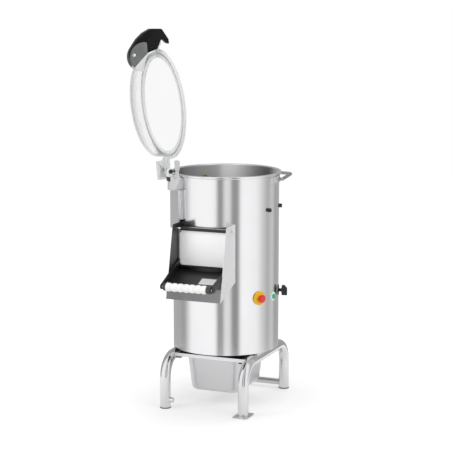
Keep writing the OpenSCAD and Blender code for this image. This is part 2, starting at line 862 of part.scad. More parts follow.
// ------------------------------------------------------------------ lid
module lid_ring() {
    color([0.9, 0.95, 1, 0.5]) lid_place() {
        rotate_extrude($fn = 180)
            polygon([[ring_r - ring_w, 0], [ring_r, 0], [ring_r, ring_t], [ring_r - ring_w, ring_t]]);
        // tab towards the hinge
        difference() {
            translate([-26, -hinge_out + 16, 0]) cube([46, 70, ring_t]);
            translate([0, 0, -1]) cylinder(r = ring_r - 2, h = 20);
        }
        // tongue under the lever's hook
        translate([0, barrel_r, 0]) slab_x(-tongue_half, 2 * tongue_half) polygon(tongue_side);
    }
}

module lid_seal() {
    color("white") lid_place() difference() {
        translate([0, 0, -seal_t]) cylinder(r = bead_mid - 3, h = seal_t - eps, $fn = 180);
        translate([0, 0, -seal_t - 1]) cylinder(r = ring_r - 18, h = seal_t + 2, $fn = 180);
    }
}

module lid_dome() {
    n = len(dome_outer);
    color([0.9, 0.95, 1, 0.35]) lid_place() translate([0, 0, eps])
        rotate_extrude($fn = 180)
            polygon(concat(dome_outer, [for (i = [n - 1:-1:0]) dome_inner[i]]));
}

module lid_hinge_arm() {
    under = -hinge_up + ring_t + eps;
    color([0.85, 0.9, 0.92, 0.8]) lid_place()
        translate([0, -hinge_out, hinge_z - lid_z]) difference() {
            union() {
                slab_x(arm_far_x, lid_arm_t)
                    polygon([[-36, -12], [13, -12], [14, under], [47, under], [46, 3], [37, 3], [36, 30],
                             [-36, 30]]);
                slab_x(arm_near_x, lid_arm_t)
                    polygon([[-12, -10], [13, -10], [14, under], [46, under], [44, 4], [12, 12], [-12, 12]]);
            }
            translate([-60, 0, 0]) rotate([0, 90, 0]) cylinder(r = pin_r + run, h = 120);
        }
}

// ------------------------------------------------------------------ latch
// the dome's outer volume, to seat the cheeks on it
module dome_core() {
    translate([0, 0, eps]) rotate_extrude($fn = 180)
        polygon(concat([[0, 0], [dome_wall, 0]],
                       [for (p = dome_outer) [p[0] + (p[0] > 0 ? eps : 0), p[1] + eps]]));
}

module latch_cheeks() {
    color("dimgray") lid_place() difference() {
        for (x = [lever_half + 1, -lever_half - 1 - cheek_t])
            translate([x, barrel_r + cheek_at[0], cheek_at[1]])
                rotate([0, 90, 0]) cylinder(r = cheek_r, h = cheek_t);
        translate([-60, 0, cheek_low - 100]) cube([120, 2 * barrel_r, 100]);
        dome_core();
        latch_axis(-60) cylinder(r = latch_pin_r + eps, h = 120);
    }
}

// puts its children on the latch's pivot axis, starting at x
module latch_axis(x) {
    translate([x, barrel_r + latch_pivot[0], latch_pivot[1]]) rotate([0, 90, 0]) children();
}

module latch_lever() {
    color([0.12, 0.12, 0.13]) lid_place() difference() {
        translate([0, barrel_r, 0]) slab_x(-lever_half, lever_t) polygon(lever_side);
        translate([0, barrel_r, 0]) slab_x(-slot_half, 2 * slot_half) polygon(slot_side);
        latch_axis(-60) cylinder(r = latch_pin_r + run, h = 120);
    }
}

module latch_pin() {
    half = lever_half + 1 + cheek_t;
    color("silver") lid_place() {
        latch_axis(-half - 2) cylinder(r = latch_pin_r, h = 2 * half + 4);
        latch_axis(half + eps) cylinder(r = latch_pin_r + 2.5, h = 3);
        latch_axis(-half - 3) cylinder(r = latch_pin_r + 2.5, h = 3 - eps);
    }
}

// ------------------------------------------------------------------ catch
module catch_bow() {
    foot_r = barrel_r + catch_t;
    out = barrel_r + 15;
    s = sin(bow_foot);
    c = cos(bow_foot);
    half = [[foot_r * s, -foot_r * c, bow_root_z], [out * s, -out * c, bow_root_z],
            [bow_corner[0], -bow_corner[1], keep_z - 4], [bow_mid_x, -bow_keep_r, keep_z]];
    color("silver") around(catch_bearing) difference() {
        union() {
            for (m = [0, 1])
                mirror([m, 0, 0])
                    for (i = [0:2]) {
                        bar(half[i], half[i + 1], bow_r);
                        translate(half[i + 1]) sphere(bow_r + knee);
                    }
            bar(half[3], [-half[3][0], half[3][1], half[3][2]], bow_r);
        }
        barrel_core(catch_t + 2 * eps);
    }
}

module catch_plates() {
    color("whitesmoke") around(catch_bearing)
        for (m = [0, 1])
            mirror([m, 0, 0]) rotate([0, 0, -90 + 26]) translate([0, 0, rim_z - 39])
                rotate_extrude(angle = 36, $fn = 180) translate([barrel_r + eps, 0]) square([catch_t, 29]);
}

// ------------------------------------------------------------------ controls
module stop_base() {
    color("gold") difference() {
        outward(stop_bearing, control_z) {
            translate([0, 0, barrel_r - 8]) cylinder(d = stop_plate_d, h = 13);
            translate([0, 0, barrel_r + 4]) cylinder(r = 15, h = 4.5);
        }
        barrel_core();
        outward(stop_bearing, control_z) translate([0, 0, block_r - 5]) cylinder(r = stem_r + run, h = 60);
    }
    color("gold") outward(stop_bearing, control_z) difference() {
        translate([0, 0, block_r + eps]) cylinder(r = neck_r, h = barrel_r - block_r + 2);
        translate([0, 0, block_r - 5]) cylinder(r = stem_r + run, h = 60);
    }
}

module stop_button() {
    low = barrel_r + 8.5 + stop_travel + 0.5;
    stem_low = block_r + stop_travel + 1;
    d = mushroom_d;
    color("red") outward(stop_bearing, control_z) {
        translate([0, 0, stem_low]) cylinder(r = stem_r, h = low + 1 - stem_low);
        translate([0, 0, low]) cylinder(d1 = d - 8, d2 = d, h = 5);
        translate([0, 0, low + 5]) cylinder(d = d, h = 4);
        translate([0, 0, low + 9]) cylinder(d1 = d, d2 = d - 10, h = 5);
    }
}

module start_bezel() {
    color("white") difference() {
        outward(start_bearing, start_z) translate([0, 0, barrel_r - 4]) cylinder(r = bezel_r, h = 10);
        barrel_core();
        outward(start_bearing, start_z) {
            translate([0, 0, barrel_r + 2]) cylinder(r = 10, h = 20);
            translate([0, 0, block_r - 5]) cylinder(r = stem_r + run, h = 60);
        }
    }
    color("white") outward(start_bearing, start_z) difference() {
        translate([0, 0, block_r + eps]) cylinder(r = neck_r, h = barrel_r - block_r + 1.9);
        translate([0, 0, block_r - 5]) cylinder(r = stem_r + run, h = 60);
    }
}

module start_button() {
    color("green") outward(start_bearing, start_z) {
        translate([0, 0, barrel_r + 2 + start_travel + 0.5]) cylinder(r = 9.9, h = 4.5);
        translate([0, 0, block_r + start_travel + 1]) cylinder(r = stem_r, h = barrel_r - block_r + 3);
    }
}

module timer_base() {
    color("black") difference() {
        outward(timer_bearing, timer_z) translate([0, 0, barrel_r - 8]) cylinder(d = timer_base_d, h = 10);
        barrel_core();
        outward(timer_bearing, timer_z)
            translate([0, 0, block_r - 5]) cylinder(r = timer_stem_r + run, h = 60);
    }
    color("black") outward(timer_bearing, timer_z) difference() {
        translate([0, 0, block_r + eps]) cylinder(r = neck_r, h = barrel_r - block_r + 1.9);
        translate([0, 0, block_r - 5]) cylinder(r = timer_stem_r + run, h = 60);
    }
}

module timer_knob() {
    color("black") outward(timer_bearing, timer_z) {
        translate([0, 0, block_r + 1]) cylinder(r = timer_stem_r, h = barrel_r + 5 - block_r);
        translate([0, 0, barrel_r + 2 + air]) cylinder(r = 6.5, h = 13);
        translate([0, 0, barrel_r + 14]) cylinder(r = 13, h = 7);
        // pointer with a sloping top
        translate([0, 0, barrel_r + 15]) slab_x(-7, 14)
            polygon([[-20, 0], [18, 0], [20, 2], [20, 10], [8, 21], [-20, 21]]);
    }
}

module side_bumpers() {
    color("black") difference() {
        for (b = bumper_bearings)
            outward(b, bumper_z) {
                translate([0, 0, barrel_r - 3]) cylinder(r = bumper_r, h = 12);
                translate([0, 0, barrel_r + 9]) cylinder(r1 = bumper_r, r2 = bumper_r - 2, h = 3);
            }
        barrel_core();
    }
}

// ------------------------------------------------------------------ water inlet
module water_inlet() {
    color("goldenrod") outward(inlet_bearing, inlet_z) difference() {
        union() {
            translate([0, 0, inner_r - 9]) cylinder(r = nozzle_r, h = 20);
            translate([0, 0, barrel_r + 0.4]) cylinder(r = 16, h = 7);
            translate([0, 0, barrel_r + 7]) cylinder(r = inlet_r, h = 30.5);
        }
        translate([0, 0, barrel_r + 5]) cylinder(r = inlet_r - 3, h = 60);
        translate([0, 0, inner_r - 17]) cylinder(r = nozzle_r - 2, h = 40);
    }
}

module control_box() {
    color("dimgray")
        for (c = CONTROLS)
            outward(c[0], c[1]) translate([-15, -22, block_r - block_h]) cube([30, 44, block_h]);
}

module screws() {
    color("silver") {
        // on the catch plates
        for (m = [-1, 1], p = [[57, -17], [57, -29], [50, -26]])
            outward(catch_bearing + m * p[0], rim_z + p[1])
                translate([0, 0, barrel_r + catch_t + eps]) cylinder(r1 = 4, r2 = 3, h = 2);
        // through the base plate into the mounting pads
        for (x = [-loop_x, loop_x], y = [-pad_y, pad_y])
            translate([x, y, barrel_bottom + eps]) {
                cylinder(r = pad_bolt_r, h = floor_t);
                translate([0, 0, floor_t]) cylinder(r = 7, h = 5);
            }
        // bearing housing to the drum floor
        for (k = [0:3])
            rotate([0, 0, 90 * k]) translate([housing_r + 12, 0, housing_top - 8 - 5])
                cylinder(r = 6, h = 5 - eps);
    }
}

barrel_shell();
base_plate();
drum_floor();
abrasive_liner();
drain_pipe();
stand_loop_left();
stand_loop_right();
cross_rails();
rear_brace();
foot_caps();
foot_plates();
mounting_pads();
tray_runners();
tray();
motor();
motor_plate();
motor_pulley();
drive_belt();
driven_pulley();
drive_shaft();
bearing_housing();
shaft_bearings();
shaft_seal();
abrasive_disc();
disc_cap();
chute_side_left();
chute_side_right();
chute_floor();
door_frame();
door_panel();
door_gasket();
door_hinge_rod();
handle_bar();
handle_grip();
handle_clamps();
grip_rod();
hinge_bracket();
hinge_knuckles();
hinge_pin();
cable_duct();
lid_sensor();
lid_ring();
lid_seal();
lid_dome();
lid_hinge_arm();
latch_cheeks();
latch_lever();
latch_pin();
catch_bow();
catch_plates();
stop_base();
stop_button();
start_bezel();
start_button();
timer_base();
timer_knob();
side_bumpers();
water_inlet();
control_box();
screws();
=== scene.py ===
"""Dresses the CAD frame of a floor-standing potato peeler: steel drum, clear lid, chute, stand and tray."""
import bmesh
import bpy
import math
import numpy as np
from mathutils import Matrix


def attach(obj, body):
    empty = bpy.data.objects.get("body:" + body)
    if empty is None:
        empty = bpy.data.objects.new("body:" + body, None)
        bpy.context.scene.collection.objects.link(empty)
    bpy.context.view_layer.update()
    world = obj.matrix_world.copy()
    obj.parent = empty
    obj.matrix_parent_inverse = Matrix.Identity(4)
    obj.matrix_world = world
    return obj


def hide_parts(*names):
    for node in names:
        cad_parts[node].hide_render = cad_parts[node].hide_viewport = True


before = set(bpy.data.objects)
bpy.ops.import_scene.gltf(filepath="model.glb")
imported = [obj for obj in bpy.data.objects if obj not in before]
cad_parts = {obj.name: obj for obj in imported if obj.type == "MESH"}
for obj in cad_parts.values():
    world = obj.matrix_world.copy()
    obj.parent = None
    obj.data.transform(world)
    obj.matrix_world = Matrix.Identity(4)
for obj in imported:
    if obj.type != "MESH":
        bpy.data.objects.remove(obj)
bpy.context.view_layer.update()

# ---------------------------------------------------------------- camera
# The photograph is taken from the right of the chute, a little above the drum, with a long lens.
photo_px, lens_px = 452, 1515.42
camera_bearing, look_down = 22.437, 0.164
camera_data = bpy.data.cameras.new("camera")
camera_data.sensor_width = 36.0
camera_data.lens = camera_data.sensor_width * lens_px / photo_px
camera_data.clip_end = 400
camera = bpy.data.objects.new("camera", camera_data)
camera.location = (2.2635, -5.4818, 1.6827)
camera.rotation_euler = (math.radians(90) - look_down, 0, math.radians(camera_bearing))
bpy.context.scene.collection.objects.link(camera)
bpy.context.scene.camera = camera
bpy.context.scene.view_settings.view_transform = "Standard"

# ---------------------------------------------------------------- drum
# The drum is 1.5 mm stainless sheet, rolled, welded up the back and beaded over at the rim.
# It is brushed up and down, so what it mirrors is drawn out into soft upright bands.


def shader_of(name):
    """A new material and its nodes, links and main shader."""
    material = bpy.data.materials.new(name)
    material.use_nodes = True
    tree = material.node_tree
    return material, tree, tree.nodes["Principled BSDF"]


def shader_in(material):
    """The main shader of a material."""
    return material.node_tree.nodes["Principled BSDF"]


def drawn_noise(tree, stretch, detail=4.0):
    """Noise on Object coordinates, its grain drawn out along the axes where stretch is small."""
    place = tree.nodes.new("ShaderNodeTexCoord")
    mapping = tree.nodes.new("ShaderNodeMapping")
    mapping.inputs["Scale"].default_value = stretch
    noise = tree.nodes.new("ShaderNodeTexNoise")
    noise.inputs["Scale"].default_value = 1.0
    noise.inputs["Detail"].default_value = detail
    tree.links.new(place.outputs["Object"], mapping.inputs["Vector"])
    tree.links.new(mapping.outputs["Vector"], noise.inputs["Vector"])
    return noise.outputs["Fac"]


def spread(tree, value, low, high):
    """Maps a noise value from its usual 0.3 to 0.7 onto low to high."""
    remap = tree.nodes.new("ShaderNodeMapRange")
    remap.inputs["From Min"].default_value = 0.3
    remap.inputs["From Max"].default_value = 0.7
    remap.inputs["To Min"].default_value = low
    remap.inputs["To Max"].default_value = high
    tree.links.new(value, remap.inputs["Value"])
    return remap.outputs["Result"]


def tinted(tree, value, dark, light):
    """A colour between dark and light, by a noise value."""
    ramp = tree.nodes.new("ShaderNodeValToRGB")
    ramp.color_ramp.elements[0].position = 0.3
    ramp.color_ramp.elements[1].position = 0.7
    ramp.color_ramp.elements[0].color = (*dark, 1)
    ramp.color_ramp.elements[1].color = (*light, 1)
    tree.links.new(value, ramp.inputs["Fac"])
    return ramp.outputs["Color"]


def raised(tree, shader, value, height):
    """A bump of that height in metres, by a noise value."""
    bump = tree.nodes.new("ShaderNodeBump")
    bump.inputs["Strength"].default_value = 1.0
    bump.inputs["Distance"].default_value = height
    tree.links.new(value, bump.inputs["Height"])
    tree.links.new(bump.outputs["Normal"], shader.inputs["Normal"])


def steel(name, colour, rough, stretch, bump, spots=0.04, metal=1.0):
    """Stainless steel: a fine drawn grain in roughness and bump, and broad cloudy wear in colour."""
    material, tree, shader = shader_of(name)
    shader.inputs["Metallic"].default_value = metal
    grain = drawn_noise(tree, stretch, 6)
    cloud = drawn_noise(tree, (7, 7, 5), 3)
    dark = tuple(c * (1 - spots) for c in colour)
    tree.links.new(tinted(tree, cloud, dark, colour), shader.inputs["Base Color"])
    tree.links.new(spread(tree, grain, rough * 0.82, rough * 1.18), shader.inputs["Roughness"])
    raised(tree, shader, grain, bump)
    return material


def beyond(tree, axis, edge, soft=0.0004):
    """0 to 1 across a place: a distance along x, y, z or a direction, or a radius round Z, passes an edge."""
    place = tree.nodes.new("ShaderNodeTexCoord")
    if len(axis) == 3:
        reach = tree.nodes.new("ShaderNodeVectorMath")
        reach.operation = "DOT_PRODUCT"
        reach.inputs[1].default_value = axis
        tree.links.new(place.outputs["Object"], reach.inputs[0])
        value = reach.outputs["Value"]
    elif axis == "r":
        across = tree.nodes.new("ShaderNodeVectorMath")
        across.operation = "MULTIPLY"
        across.inputs[1].default_value = (1, 1, 0)
        length = tree.nodes.new("ShaderNodeVectorMath")
        length.operation = "LENGTH"
        tree.links.new(place.outputs["Object"], across.inputs[0])
        tree.links.new(across.outputs["Vector"], length.inputs[0])
        value = length.outputs["Value"]
    else:
        split = tree.nodes.new("ShaderNodeSeparateXYZ")
        tree.links.new(place.outputs["Object"], split.inputs["Vector"])
        value = split.outputs[axis.upper()]
    step = tree.nodes.new("ShaderNodeMapRange")
    step.inputs["From Min"].default_value = edge - soft
    step.inputs["From Max"].default_value = edge + soft
    tree.links.new(value, step.inputs["Value"])
    return step.outputs["Result"]


def short_of(tree, axis, edge, soft=0.0004):
    """The same the other way round: 1 before the edge, 0 past it."""
    back = tree.nodes.new("ShaderNodeMath")
    back.operation = "SUBTRACT"
    back.inputs[0].default_value = 1.0
    tree.links.new(beyond(tree, axis, edge, soft), back.inputs[1])
    return back.outputs[0]


def both(tree, a, b):
    """1 where two values are 1."""
    product = tree.nodes.new("ShaderNodeMath")
    product.operation = "MULTIPLY"
    tree.links.new(a, product.inputs[0])
    tree.links.new(b, product.inputs[1])
    return product.outputs[0]


def within(tree, limits, soft=0.0004):
    """1 inside a box: limits gives (low, high) for some of x, y and z, with None for a side left open."""
    inside = None
    for axis, (low, high) in limits.items():
        for edge, side in ((low, beyond), (high, short_of)):
            if edge is not None:
                step = side(tree, axis, edge, soft)
                inside = step if inside is None else both(tree, inside, step)
    return inside


def parted(material, where, colour, metal, rough):
    """The same material takes a second colour, metal and roughness where a value is 1."""
    tree = material.node_tree
    shader = shader_in(material)
    for socket, value in (("Base Color", colour), ("Metallic", metal), ("Roughness", rough)):
        mix = tree.nodes.new("ShaderNodeMix")
        mix.data_type = "RGBA" if socket == "Base Color" else "FLOAT"
        # a mix node keeps its colour sockets behind its number sockets: A, B and the result
        a, b, out = (6, 7, 2) if socket == "Base Color" else (2, 3, 0)
        tree.links.new(where, mix.inputs["Factor"])
        old = shader.inputs[socket]
        if old.is_linked:
            tree.links.new(old.links[0].from_socket, mix.inputs[a])
        else:
            mix.inputs[a].default_value = old.default_value
        if hasattr(value, "links"):
            tree.links.new(value, mix.inputs[b])
        else:
            mix.inputs[b].default_value = (*value, 1) if socket == "Base Color" else value
        tree.links.new(mix.outputs[out], old)


sharp = math.radians(32)


def dress(node, material, bevel=0.0):
    """A CAD node keeps its mesh: its loose triangles are welded, its edges softened, and it gets a finish."""
    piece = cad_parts[node]
    piece.data.polygons.foreach_set("use_smooth", [True] * len(piece.data.polygons))
    piece.data.materials.clear()
    piece.data.materials.append(material)
    weld = piece.modifiers.new("weld", "WELD")
    weld.merge_threshold = 0.00001
    if bevel:
        soften = piece.modifiers.new("soften", "BEVEL")
        soften.width = bevel
        soften.segments = 2
        soften.limit_method = "ANGLE"
        soften.angle_limit = sharp
        soften.harden_normals = True
    else:
        split = piece.modifiers.new("split", "EDGE_SPLIT")
        split.split_angle = sharp


drum_steel = steel("drum_steel", (0.75, 0.75, 0.76), 0.2, (420, 420, 3.0), 0.000012)
# Inside, soft bands of light and dark are painted in as painted reflections, side by side as the lens sees them,
# over the drum's width.
drum_width, inner_r = 0.42, 0.2092
view_across = (math.cos(math.radians(camera_bearing)), math.sin(math.radians(camera_bearing)))
inside_tree = drum_steel.node_tree
inside_place = inside_tree.nodes.new("ShaderNodeTexCoord")
across = inside_tree.nodes.new("ShaderNodeVectorMath")
across.operation = "DOT_PRODUCT"
across.inputs[1].default_value = (view_across[0] / drum_width, view_across[1] / drum_width, 0)
inside_tree.links.new(inside_place.outputs["Object"], across.inputs[0])
inside_painted_reflection = inside_tree.nodes.new("ShaderNodeValToRGB")
inside_painted_reflection.color_ramp.interpolation = "B_SPLINE"
for spot, tone in ((-0.47, 0.05), (-0.38, 0.3), (-0.2, 0.45), (-0.08, 0.5), (-0.02, 1.0), (0.1, 0.95),
                   (0.24, 0.42), (0.35, 0.2), (0.43, 0.06)):
    stop = inside_painted_reflection.color_ramp.elements.new(spot + 0.5)
    stop.color = (tone, tone, tone * 1.01, 1)
inside_shift = inside_tree.nodes.new("ShaderNodeMath")
inside_shift.inputs[1].default_value = 0.5
inside_tree.links.new(across.outputs["Value"], inside_shift.inputs[0])
inside_tree.links.new(inside_shift.outputs[0], inside_painted_reflection.inputs["Fac"])
parted(drum_steel, short_of(inside_tree, "r", inner_r), inside_painted_reflection.outputs["Color"], 0.3, 0.4)
# The sheet is painted dark with painted shade in the slot between the door's foot and the chute's floor.
painted_shade_below_mouth = within(inside_tree, {"z": (0.5445, 0.583), "x": (-0.098, 0.098), "y": (None, -0.15)})
parted(drum_steel, painted_shade_below_mouth, (0.03, 0.03, 0.03), 0.3, 0.45)
dress("barrel_shell", drum_steel)
plate_steel = steel("plate_steel", (0.7, 0.7, 0.71), 0.24, (500, 24, 24), 0.000015)
for node in ("base_plate", "drum_floor", "motor_plate"):
    dress(node, plate_steel)

# ---------------------------------------------------------------- lid
# A dome blown from clear 4 mm plastic, glued on a flat frosted ring with a tongue for the lever's hook.
# It stands open on the hinge at the front left, leaning back a little past upright. A pale seal lies
# on its underside, and a milky arm carries it to the hinge pin.


def surface(name, grid, wrap_across=False, material=None):
    """Quads over a grid of points P(u, v). Rows that fall on one point become poles, and faces turn outwards."""
    rows, across = grid.shape[:2]
    u, v = np.meshgrid(np.arange(rows - 1), np.arange(across if wrap_across else across - 1), indexing="ij")
    beside = (v + 1) % across
    quads = np.stack([u * across + v, u * across + beside, (u + 1) * across + beside, (u + 1) * across + v], -1)
    mesh = bpy.data.meshes.new(name)
    mesh.from_pydata(grid.reshape(-1, 3).tolist(), [], quads.reshape(-1, 4).tolist())
    work = bmesh.new()
    work.from_mesh(mesh)
    bmesh.ops.remove_doubles(work, verts=work.verts, dist=0.000002)
    bmesh.ops.recalc_face_normals(work, faces=work.faces)
    work.to_mesh(mesh)
    work.free()
    mesh.polygons.foreach_set("use_smooth", [True] * len(mesh.polygons))
    piece = bpy.data.objects.new(name, mesh)
    bpy.context.scene.collection.objects.link(piece)
    if material:
        mesh.materials.append(material)
    return piece


def turned(profile, steps=128):
    """A profile of (r, z) turned about Z: P(i, t) = (r_i cos t, r_i sin t, z_i)."""
    profile = np.asarray(profile, float)
    t = np.linspace(0, 2 * math.pi, steps, endpoint=False)
    r, z = profile[:, :1], profile[:, 1:]
    return np.stack([r * np.cos(t), r * np.sin(t), z + 0 * t], -1)


def rounded(path, radius, steps=5):
    """Each inner corner of a path becomes a curve: (1-s)^2 A + 2 s(1-s) C + s^2 B, A and B a radius off C."""
    path = np.asarray(path, float)
    before, corner, after = path[:-2], path[1:-1], path[2:]
    back, on = before - corner, after - corner
    back_l = np.linalg.norm(back, axis=1, keepdims=True)
    on_l = np.linalg.norm(on, axis=1, keepdims=True)
    cut = np.minimum(radius, 0.48 * np.minimum(back_l, on_l))
    a, b = corner + back / back_l * cut, corner + on / on_l * cut
    s = np.linspace(0, 1, steps)[None, :, None]
    curve = (1 - s) ** 2 * a[:, None] + 2 * s * (1 - s) * corner[:, None] + s ** 2 * b[:, None]
    return np.concatenate([path[:1], curve.reshape(-1, path.shape[1]), path[-1:]])


lid_bearing, lid_open = math.radians(-42), math.radians(94.8)
lid_pin_out, lid_pin_z, lid_ring_z = 0.256, 0.938, 0.9274


def stood_open(grid):
    """Lid points, written closed about the drum's axis from the ring's underside, turned open about the pin."""
    p = np.asarray(grid, float)
    y, z = p[..., 1] + lid_pin_out, p[..., 2] + lid_ring_z - lid_pin_z
    away = y * math.cos(lid_open) - z * math.sin(lid_open) - lid_pin_out
    up = y * math.sin(lid_open) + z * math.cos(lid_open) + lid_pin_z
    c, s = math.cos(lid_bearing), math.sin(lid_bearing)
    return np.stack([p[..., 0] * c - away * s, p[..., 0] * s + away * c, up], -1)


dome_outer = rounded([(0.201, 0.0071), (0.201, 0.020), (0.198, 0.0205), (0.198, 0.034), (0.1955, 0.0345),
                      (0.1955, 0.050), (0.193, 0.056), (0.185, 0.062), (0.165, 0.069), (0.130, 0.077),
                      (0.080, 0.084), (0.030, 0.0872), (0.0, 0.0875)], 0.004)
dome_inner = rounded([(0.0, 0.0835), (0.030, 0.0832), (0.078, 0.080), (0.128, 0.073), (0.163, 0.065),
                      (0.182, 0.058), (0.1885, 0.053), (0.191, 0.047), (0.1915, 0.0071)], 0.004)


def clear_plastic(name, colour, face, edge, rough, glow, thin, darkened):
    """Clear plastic as a pale film with a painted glow of strength glow, as though lit from within. Its alpha is
    face up to a slant of thin, with 0 square on and 1 edge on, then climbs to edge, where its colour is darkened
    too."""
    material, tree, shader = shader_of(name)
    cloud = drawn_noise(tree, (14, 14, 14), 3)
    tree.links.new(spread(tree, cloud, rough * 0.8, rough * 1.2), shader.inputs["Roughness"])
    slant = tree.nodes.new("ShaderNodeLayerWeight")
    slant.inputs["Blend"].default_value = 0.5
    film = tree.nodes.new("ShaderNodeMapRange")
    film.inputs["From Min"].default_value = thin
    film.inputs["To Min"].default_value = face
    film.inputs["To Max"].default_value = edge
    shader.inputs["Emission Color"].default_value = (1, 1, 1, 1)
    shader.inputs["Emission Strength"].default_value = glow
    tree.links.new(slant.outputs["Facing"], film.inputs["Value"])
    tree.links.new(film.outputs["Result"], shader.inputs["Alpha"])
    rim = tree.nodes.new("ShaderNodeValToRGB")
    rim.color_ramp.elements[0].position = 0.78
    rim.color_ramp.elements[1].position = 0.9
    rim.color_ramp.elements[0].color = (*colour, 1)
    rim.color_ramp.elements[1].color = (*(c * darkened for c in colour), 1)
    tree.links.new(slant.outputs["Facing"], rim.inputs["Fac"])
    tree.links.new(rim.outputs["Color"], shader.inputs["Base Color"])
    return material


# Each clear part below gets a painted glow, as though lit from within.
clear = clear_plastic("clear_lid", (0.4, 0.41, 0.41), face=0.06, edge=0.95, rough=0.08, glow=0.05,
                      thin=0.68, darkened=0.15)
dome = surface("clear_dome", stood_open(turned(np.vstack([dome_outer, dome_inner, dome_outer[:1]]), 160)),
               True, clear)
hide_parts("lid_dome")
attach(dome, "lid")

frosted = clear_plastic("frosted_ring", (0.76, 0.77, 0.77), face=0.75, edge=0.92, rough=0.3, glow=0.12,
                        thin=0.6, darkened=0.7)
tongue_low = 1.4
ring_tree = frosted.node_tree
tongue = beyond(ring_tree, "z", tongue_low)
solid = ring_tree.nodes.new("ShaderNodeMath")
solid.operation = "MAXIMUM"
ring_alpha = shader_in(frosted).inputs["Alpha"]
ring_tree.links.new(ring_alpha.links[0].from_socket, solid.inputs[0])
ring_tree.links.new(tongue, solid.inputs[1])
ring_tree.links.new(solid.outputs[0], ring_alpha)
parted(frosted, tongue, (0.62, 0.63, 0.63), 0.0, 0.4)
dress("lid_ring", frosted, 0.0012)
milky = clear_plastic("milky_arm", (0.74, 0.75, 0.75), face=0.55, edge=0.85, rough=0.35, glow=0.05,
                      thin=0.5, darkened=0.8)
dress("lid_hinge_arm", milky, 0.001)


def rubber_like(name, grain, dark, light, rough):
    """Rubber: an even sheen and a slight fine mottle in colour."""
    material, tree, shader = shader_of(name)
    mottle = drawn_noise(tree, (grain, grain, grain))
    tree.links.new(tinted(tree, mottle, dark, light), shader.inputs["Base Color"])
    shader.inputs["Roughness"].default_value = rough
    return material


dress("lid_seal", rubber_like("seal_rubber", 90, (0.86, 0.87, 0.86), (0.92, 0.93, 0.92), 0.5))

# ---------------------------------------------------------------- lid hinge and switch
# A stainless block welded to the drum carries two steel eyes with a black stop at their foot, and a
# pin with black ends. The grey switch beside it tells the machine that the lid is shut, and its lead
# runs down in a folded steel duct.


def moulded(name, dark, light, rough, grain=260, height=0.00004):
    """Moulded plastic: a slight cloud in colour and a fine spark-eroded texture."""
    material, tree, shader = shader_of(name)
    tree.links.new(tinted(tree, drawn_noise(tree, (40, 40, 40)), dark, light), shader.inputs["Base Color"])
    texture = drawn_noise(tree, (grain, grain, grain), 5)
    tree.links.new(spread(tree, texture, rough * 0.85, rough * 1.15), shader.inputs["Roughness"])
    raised(tree, shader, texture, height)
    return material


fold_steel = steel("fold_steel", (0.78, 0.78, 0.79), 0.42, (60, 60, 420), 0.000003)
cast_steel = steel("cast_steel", (0.78, 0.78, 0.79), 0.42, (160, 160, 160), 0.00001, metal=0.7)
dress("hinge_bracket", cast_steel, 0.003)
dress("cable_duct", fold_steel, 0.001)
black_plastic = moulded("black_plastic", (0.012, 0.012, 0.013), (0.022, 0.022, 0.024), 0.3)
eye_steel = steel("eye_steel", (0.9, 0.9, 0.91), 0.45, (200, 200, 200), 0.000006, metal=0.25)
stop_top = 0.9165
parted(eye_steel, short_of(eye_steel.node_tree, "z", stop_top), (0.015, 0.015, 0.016), 0.0, 0.4)
dress("hinge_knuckles", eye_steel, 0.001)
grey_plastic = moulded("grey_plastic", (0.56, 0.57, 0.58), (0.63, 0.64, 0.65), 0.42)
dress("lid_sensor", grey_plastic, 0.0015)
bright_steel = steel("bright_steel", (0.82, 0.82, 0.83), 0.09, (60, 60, 60), 0.000003, spots=0.02)
dress("hinge_pin", black_plastic, 0.0005)

# ---------------------------------------------------------------- latch
# The black lever swings on a bright pin between two grey cheeks on the dome and hooks under the catch.
# The cheeks are moulded with pale feet, which are glued to the dome.
lever_black = moulded("lever_black", (0.005, 0.005, 0.005), (0.009, 0.009, 0.009), 0.3, 200, 0.00003)
shader_in(lever_black).inputs["Specular IOR Level"].default_value = 0.12
dress("latch_lever", lever_black, 0.0022)
cheek_grey = moulded("cheek_grey", (0.14, 0.142, 0.145), (0.17, 0.172, 0.175), 0.4)
cheek_up, foot_reach = (-0.47381, -0.52622, 0.70613), 1.2219
pale_foot = short_of(cheek_grey.node_tree, cheek_up, foot_reach)
parted(cheek_grey, pale_foot, (0.82, 0.83, 0.83), 0.0, 0.3)
dress("latch_cheeks", cheek_grey, 0.0008)
dress("latch_pin", bright_steel, 0.0005)

# ---------------------------------------------------------------- catch
# A bent stainless bar, welded to two curved plates that are screwed to the drum under the rim.


def tube(name, path, radius, up, material, sides=24):
    """A round bar along a path: P(i, a) = path_i + r (N cos a + B sin a), N square to the path, nearest up."""
    path = np.asarray(path, float)
    along = np.gradient(path, axis=0)
    along /= np.linalg.norm(along, axis=1, keepdims=True)
    up = np.asarray(up, float)
    n = up - (along @ up)[:, None] * along
    n /= np.linalg.norm(n, axis=1, keepdims=True)
    b = np.cross(along, n)
    a = np.linspace(0, 2 * math.pi, sides, endpoint=False)
    ring = radius * (n[:, None] * np.cos(a)[:, None] + b[:, None] * np.sin(a)[:, None])
    grid = path[:, None] + ring
    ends = [np.repeat(path[i][None, None], sides, 1) for i in (0, -1)]
    return surface(name, np.concatenate([ends[0], grid, ends[1]]), True, material)


def round_the_drum(points, bearing):
    """Turns points (across, out, height) written at the front to a bearing round the drum."""
    p = np.asarray(points, float)
    c, s = math.cos(math.radians(bearing)), math.sin(math.radians(bearing))
    return np.stack([p[..., 0] * c + p[..., 1] * s, p[..., 0] * s - p[..., 1] * c, p[..., 2]], -1)


